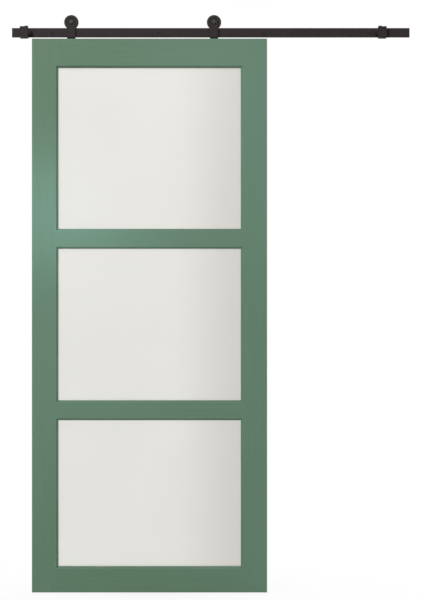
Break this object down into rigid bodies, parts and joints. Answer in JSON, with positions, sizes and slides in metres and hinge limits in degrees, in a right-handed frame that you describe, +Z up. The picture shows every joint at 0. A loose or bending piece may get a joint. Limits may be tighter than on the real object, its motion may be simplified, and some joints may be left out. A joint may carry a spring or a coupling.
{
  "type": "sliding glazed door",
  "caption": "Painted door leaf with frosted panes that hangs by grooved wheels and slides along a flat wall track between end stops.",
  "frame": {"origin": "on the wall plane, at the middle of the line of wall screws, which is also the track's mid height", "axes": "+X along the track to the right as seen from the room, +Y into the wall, +Z up"},
  "size_m": [1.524, 0.1218, 2.2116],
  "materials": {
    "painted_timber": "sprayed satin paint, grey green",
    "black_steel": "matt black powder coat",
    "zinc_steel": "zinc plated",
    "bearing_steel": "ground and polished",
    "frosted_glass": "satin etched",
    "glazing_foam": "closed-cell foam tape",
    "setting_plastic": "moulded",
    "nylon": "turned black nylon",
    "rubber": "moulded, matt",
    "beech": "fluted dowel, bare"
  },
  "bodies": {
    "track": {"track": "black_steel", "track_spacers": "black_steel", "wall_screws": "black_steel", "stop_collar_left": "black_steel", "stop_collar_right": "black_steel", "stop_clamp_bolts": "black_steel", "stop_bumper_left": "rubber", "stop_bumper_right": "rubber", "bumper_screws": "zinc_steel"},
    "leaf": {"stile_left": "painted_timber", "stile_right": "painted_timber", "top_rail": "painted_timber", "mid_rail_upper": "painted_timber", "mid_rail_lower": "painted_timber", "bottom_rail": "painted_timber", "frame_dowels": "beech", "setting_blocks": "setting_plastic", "bead_pins": "zinc_steel", "glass_top": "frosted_glass", "glass_middle": "frosted_glass", "glass_bottom": "frosted_glass", "glazing_tape_top": "glazing_foam", "glazing_tape_middle": "glazing_foam", "glazing_tape_bottom": "glazing_foam", "bead_top_left": "painted_timber", "bead_top_right": "painted_timber", "bead_top_top": "painted_timber", "bead_top_bottom": "painted_timber", "bead_middle_left": "painted_timber", "bead_middle_right": "painted_timber", "bead_middle_top": "painted_timber", "bead_middle_bottom": "painted_timber", "bead_bottom_left": "painted_timber", "bead_bottom_right": "painted_timber", "bead_bottom_top": "painted_timber", "bead_bottom_bottom": "painted_timber", "hanger_strap_left": "black_steel", "hanger_strap_right": "black_steel", "hanger_screws": "zinc_steel", "axle_bolt_left": "black_steel", "axle_bolt_right": "black_steel", "lock_nuts": "black_steel", "axle_bushes": "zinc_steel", "bearing_inner_ring_left": "bearing_steel", "bearing_inner_ring_right": "bearing_steel"},
    "wheel_left": {"wheel_left": "nylon", "bearing_outer_ring_left": "bearing_steel", "bearing_shields_left": "bearing_steel"},
    "ball_set_left": {"bearing_balls_left": "bearing_steel", "bearing_cage_left": "nylon"},
    "wheel_right": {"wheel_right": "nylon", "bearing_outer_ring_right": "bearing_steel", "bearing_shields_right": "bearing_steel"},
    "ball_set_right": {"bearing_balls_right": "bearing_steel", "bearing_cage_right": "nylon"}
  },
  "joints": [
    {"name": "leaf_slide", "type": "slide", "parent": "track", "child": "leaf", "axis": [1, 0, 0], "range_m": [-0.1362, 0.6002]},
    {"name": "wheel_left_spin", "type": "hinge", "parent": "leaf", "child": "wheel_left", "pos_m": [-0.5345, -0.035, 0.0401], "axis": [0, 1, 0], "continuous": true},
    {"name": "ball_set_left_spin", "type": "hinge", "parent": "leaf", "child": "ball_set_left", "pos_m": [-0.5345, -0.035, 0.0401], "axis": [0, 1, 0], "continuous": true},
    {"name": "wheel_right_spin", "type": "hinge", "parent": "leaf", "child": "wheel_right", "pos_m": [0.0125, -0.035, 0.0401], "axis": [0, 1, 0], "continuous": true},
    {"name": "ball_set_right_spin", "type": "hinge", "parent": "leaf", "child": "ball_set_right", "pos_m": [0.0125, -0.035, 0.0401], "axis": [0, 1, 0], "continuous": true}
  ],
  "couplings": [
    {"joint": "wheel_left_spin", "follows": "leaf_slide", "rad_per_m": 45.455},
    {"joint": "ball_set_left_spin", "follows": "leaf_slide", "rad_per_m": 28.538},
    {"joint": "wheel_right_spin", "follows": "leaf_slide", "rad_per_m": 45.455},
    {"joint": "ball_set_right_spin", "follows": "leaf_slide", "rad_per_m": 28.538}
  ]
}
